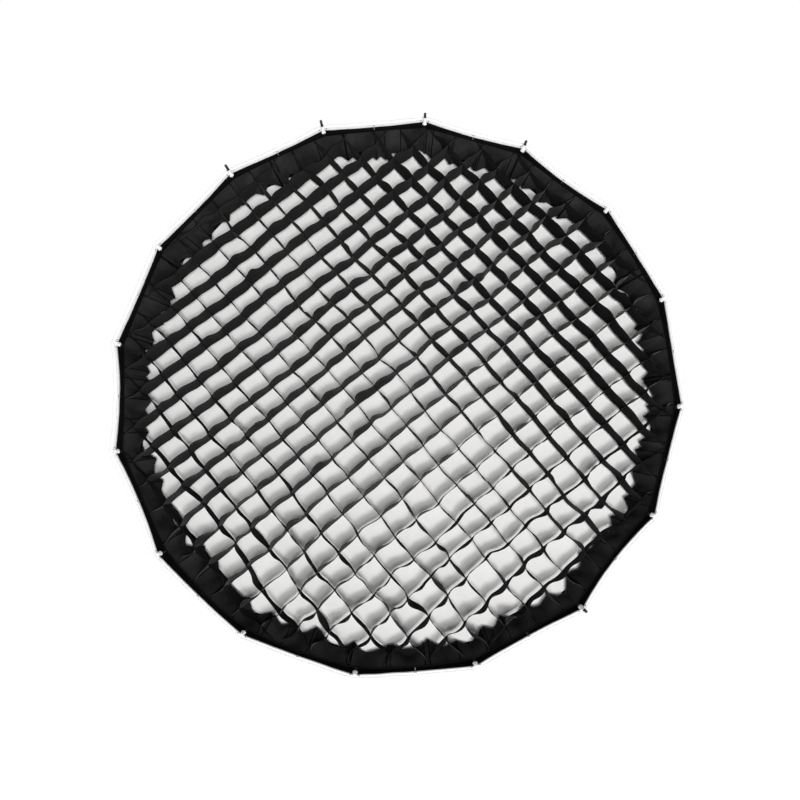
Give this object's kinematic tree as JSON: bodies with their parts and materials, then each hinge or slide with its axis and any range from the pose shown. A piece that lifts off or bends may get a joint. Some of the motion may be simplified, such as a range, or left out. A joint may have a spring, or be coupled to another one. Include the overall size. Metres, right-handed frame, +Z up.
{
  "type": "deep parabolic softbox",
  "caption": "Deep folding fabric softbox with curved sprung ribs on a hinged hub, a rear three-lug bayonet ring, a white front diffuser and a black egg-crate grid.",
  "frame": {"origin": "centre of the bayonet ring's rear seating face, where the box meets the light", "axes": "Y is the optical axis: +Y points back into the light and light leaves towards -Y; +Z is up; rib 01 is 15.6 degrees above +X"},
  "size_m": [1.1896, 0.5959, 1.1962],
  "materials": {
    "hub_plastic": "fine moulded texture, satin black",
    "release_plastic": "satin red",
    "steel": "bright zinc",
    "bayonet_steel": "satin nickel with rubbed lugs",
    "spring_steel": "plain spring steel",
    "rib_steel": "black oxide, satin, with a black moulded cap",
    "foot_metal": "black anodised",
    "black_shell_cloth": "black coated nylon outside, pebbled silver lining inside",
    "black_grid_cloth": "matt black woven nylon with a faint sheen",
    "white_diffusion_cloth": "soft white plain-weave diffusion cloth",
    "white_binding": "white grosgrain edge binding with a stitch line",
    "silver_lining": "pebbled silver reflective lining"
  },
  "bodies": {
    "hub": {"hub_front_housing": "hub_plastic", "hub_rear_housing": "hub_plastic", "hinge_pins": "steel", "bayonet_ring": "bayonet_steel", "hub_rear_cover": "hub_plastic", "hub_screws": "steel", "rear_skirt": "black_shell_cloth"},
    "release": {"release_ring": "release_plastic", "latch_plate": "spring_steel"},
    "rib_assembly_01": {"rib_01": "rib_steel", "rib_foot_01": "foot_metal", "shell_panel_01": "black_shell_cloth"},
    "rib_assembly_02": {"rib_02": "rib_steel", "rib_foot_02": "foot_metal", "shell_panel_02": "black_shell_cloth"},
    "rib_assembly_03": {"rib_03": "rib_steel", "rib_foot_03": "foot_metal", "shell_panel_03": "black_shell_cloth"},
    "rib_assembly_04": {"rib_04": "rib_steel", "rib_foot_04": "foot_metal", "shell_panel_04": "black_shell_cloth"},
    "rib_assembly_05": {"rib_05": "rib_steel", "rib_foot_05": "foot_metal", "shell_panel_05": "black_shell_cloth"},
    "rib_assembly_06": {"rib_06": "rib_steel", "rib_foot_06": "foot_metal", "shell_panel_06": "black_shell_cloth"},
    "rib_assembly_07": {"rib_07": "rib_steel", "rib_foot_07": "foot_metal", "shell_panel_07": "black_shell_cloth"},
    "rib_assembly_08": {"rib_08": "rib_steel", "rib_foot_08": "foot_metal", "shell_panel_08": "black_shell_cloth"},
    "rib_assembly_09": {"rib_09": "rib_steel", "rib_foot_09": "foot_metal", "shell_panel_09": "black_shell_cloth"},
    "rib_assembly_10": {"rib_10": "rib_steel", "rib_foot_10": "foot_metal", "shell_panel_10": "black_shell_cloth"},
    "rib_assembly_11": {"rib_11": "rib_steel", "rib_foot_11": "foot_metal", "shell_panel_11": "black_shell_cloth"},
    "rib_assembly_12": {"rib_12": "rib_steel", "rib_foot_12": "foot_metal", "shell_panel_12": "black_shell_cloth"},
    "rib_assembly_13": {"rib_13": "rib_steel", "rib_foot_13": "foot_metal", "shell_panel_13": "black_shell_cloth"},
    "rib_assembly_14": {"rib_14": "rib_steel", "rib_foot_14": "foot_metal", "shell_panel_14": "black_shell_cloth"},
    "rib_assembly_15": {"rib_15": "rib_steel", "rib_foot_15": "foot_metal", "shell_panel_15": "black_shell_cloth"},
    "rib_assembly_16": {"rib_16": "rib_steel", "rib_foot_16": "foot_metal", "shell_panel_16": "black_shell_cloth"},
    "grid": {"front_grid": "black_grid_cloth"},
    "front_cloth": {"front_diffuser": "white_diffusion_cloth"},
    "inner_cloth": {"inner_diffuser": "white_diffusion_cloth"}
  },
  "joints": [
    {"name": "rib_fold_01", "type": "hinge", "parent": "hub", "child": "rib_assembly_01", "pos_m": [0.07705, -0.03, 0.02151], "axis": [0.2689, 0, -0.9632], "range_deg": [0, 46], "deforming": ["shell_panel_01", "latch_plate", "front_grid", "front_diffuser", "inner_diffuser", "rear_skirt"]},
    {"name": "rib_fold_02", "type": "hinge", "parent": "hub", "child": "rib_assembly_02", "pos_m": [0.06295, -0.03, 0.04936], "axis": [0.617, 0, -0.7869], "range_deg": [0, 46], "deforming": ["shell_panel_02"]},
    {"name": "rib_fold_03", "type": "hinge", "parent": "hub", "child": "rib_assembly_03", "pos_m": [0.03927, -0.03, 0.0697], "axis": [0.8712, 0, -0.4909], "range_deg": [0, 46], "deforming": ["shell_panel_03"]},
    {"name": "rib_fold_04", "type": "hinge", "parent": "hub", "child": "rib_assembly_04", "pos_m": [0.00961, -0.03, 0.07942], "axis": [0.9928, 0, -0.1201], "range_deg": [0, 46], "deforming": ["shell_panel_04"]},
    {"name": "rib_fold_05", "type": "hinge", "parent": "hub", "child": "rib_assembly_05", "pos_m": [-0.02151, -0.03, 0.07705], "axis": [0.9632, 0, 0.2689], "range_deg": [0, 46], "deforming": ["shell_panel_05"]},
    {"name": "rib_fold_06", "type": "hinge", "parent": "hub", "child": "rib_assembly_06", "pos_m": [-0.04936, -0.03, 0.06295], "axis": [0.7869, 0, 0.617], "range_deg": [0, 46], "deforming": ["shell_panel_06"]},
    {"name": "rib_fold_07", "type": "hinge", "parent": "hub", "child": "rib_assembly_07", "pos_m": [-0.0697, -0.03, 0.03927], "axis": [0.4909, 0, 0.8712], "range_deg": [0, 46], "deforming": ["shell_panel_07"]},
    {"name": "rib_fold_08", "type": "hinge", "parent": "hub", "child": "rib_assembly_08", "pos_m": [-0.07942, -0.03, 0.00961], "axis": [0.1201, 0, 0.9928], "range_deg": [0, 46], "deforming": ["shell_panel_08"]},
    {"name": "rib_fold_09", "type": "hinge", "parent": "hub", "child": "rib_assembly_09", "pos_m": [-0.07705, -0.03, -0.02151], "axis": [-0.2689, 0, 0.9632], "range_deg": [0, 46], "deforming": ["shell_panel_09"]},
    {"name": "rib_fold_10", "type": "hinge", "parent": "hub", "child": "rib_assembly_10", "pos_m": [-0.06295, -0.03, -0.04936], "axis": [-0.617, 0, 0.7869], "range_deg": [0, 46], "deforming": ["shell_panel_10"]},
    {"name": "rib_fold_11", "type": "hinge", "parent": "hub", "child": "rib_assembly_11", "pos_m": [-0.03927, -0.03, -0.0697], "axis": [-0.8712, 0, 0.4909], "range_deg": [0, 46], "deforming": ["shell_panel_11"]},
    {"name": "rib_fold_12", "type": "hinge", "parent": "hub", "child": "rib_assembly_12", "pos_m": [-0.00961, -0.03, -0.07942], "axis": [-0.9928, 0, 0.1201], "range_deg": [0, 46], "deforming": ["shell_panel_12"]},
    {"name": "rib_fold_13", "type": "hinge", "parent": "hub", "child": "rib_assembly_13", "pos_m": [0.02151, -0.03, -0.07705], "axis": [-0.9632, 0, -0.2689], "range_deg": [0, 46], "deforming": ["shell_panel_13"]},
    {"name": "rib_fold_14", "type": "hinge", "parent": "hub", "child": "rib_assembly_14", "pos_m": [0.04936, -0.03, -0.06295], "axis": [-0.7869, 0, -0.617], "range_deg": [0, 46], "deforming": ["shell_panel_14"]},
    {"name": "rib_fold_15", "type": "hinge", "parent": "hub", "child": "rib_assembly_15", "pos_m": [0.0697, -0.03, -0.03927], "axis": [-0.4909, 0, -0.8712], "range_deg": [0, 46], "deforming": ["shell_panel_15"]},
    {"name": "rib_fold_16", "type": "hinge", "parent": "hub", "child": "rib_assembly_16", "pos_m": [0.07942, -0.03, -0.00961], "axis": [-0.1201, 0, -0.9928], "range_deg": [0, 46], "deforming": ["shell_panel_16"]},
    {"name": "release_slide", "type": "slide", "parent": "hub", "child": "release", "axis": [0, 1, 0], "range_m": [0, 0.005], "stiffness_N_per_m": 600},
    {"name": "grid_pull_off", "type": "slide", "parent": "hub", "child": "grid", "axis": [0, -1, 0], "range_m": [0, 0.47]},
    {"name": "front_diffuser_pull_off", "type": "slide", "parent": "hub", "child": "front_cloth", "axis": [0, -1, 0], "range_m": [0, 0.42]},
    {"name": "inner_diffuser_pull_off", "type": "slide", "parent": "hub", "child": "inner_cloth", "axis": [0, -1, 0], "range_m": [0, 0.62]}
  ],
  "couplings": [
    {"joint": "rib_fold_02", "follows": "rib_fold_01", "ratio": 1},
    {"joint": "rib_fold_03", "follows": "rib_fold_01", "ratio": 1},
    {"joint": "rib_fold_04", "follows": "rib_fold_01", "ratio": 1},
    {"joint": "rib_fold_05", "follows": "rib_fold_01", "ratio": 1},
    {"joint": "rib_fold_06", "follows": "rib_fold_01", "ratio": 1},
    {"joint": "rib_fold_07", "follows": "rib_fold_01", "ratio": 1},
    {"joint": "rib_fold_08", "follows": "rib_fold_01", "ratio": 1},
    {"joint": "rib_fold_09", "follows": "rib_fold_01", "ratio": 1},
    {"joint": "rib_fold_10", "follows": "rib_fold_01", "ratio": 1},
    {"joint": "rib_fold_11", "follows": "rib_fold_01", "ratio": 1},
    {"joint": "rib_fold_12", "follows": "rib_fold_01", "ratio": 1},
    {"joint": "rib_fold_13", "follows": "rib_fold_01", "ratio": 1},
    {"joint": "rib_fold_14", "follows": "rib_fold_01", "ratio": 1},
    {"joint": "rib_fold_15", "follows": "rib_fold_01", "ratio": 1},
    {"joint": "rib_fold_16", "follows": "rib_fold_01", "ratio": 1},
    {"joint": "grid_pull_off", "follows": "rib_fold_01", "m_per_rad": 0.5854},
    {"joint": "front_diffuser_pull_off", "follows": "rib_fold_01", "m_per_rad": 0.5231},
    {"joint": "inner_diffuser_pull_off", "follows": "rib_fold_01", "m_per_rad": 0.7722}
  ]
}
